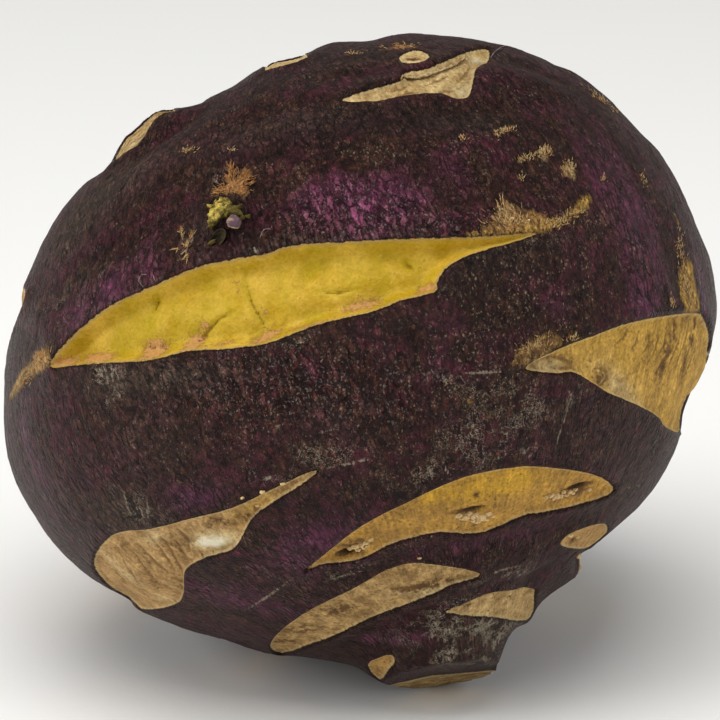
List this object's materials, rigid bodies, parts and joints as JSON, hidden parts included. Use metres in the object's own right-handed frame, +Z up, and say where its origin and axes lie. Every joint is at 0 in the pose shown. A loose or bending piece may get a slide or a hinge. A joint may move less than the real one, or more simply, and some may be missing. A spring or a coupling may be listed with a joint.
{
  "type": "kohlrabi",
  "caption": "Old shrivelled purple kohlrabi, leaves fallen, with pale leaf scars, a yellow open gash and the cut stub of its root end, lying on its side.",
  "frame": {"origin": "middle of the overall box on the surface it rests on", "axes": "+Z up, +X to the right as the gashed side is looked at, the gashed side towards -Y, the crown up and back, the root stub down and to the front"},
  "size_m": [0.0928, 0.0928, 0.0844],
  "materials": {
    "skin": "dull, dry and wrinkled, dark purple to olive brown"
  },
  "bodies": {
    "root": {"kohlrabi": "skin"}
  },
  "joints": []
}
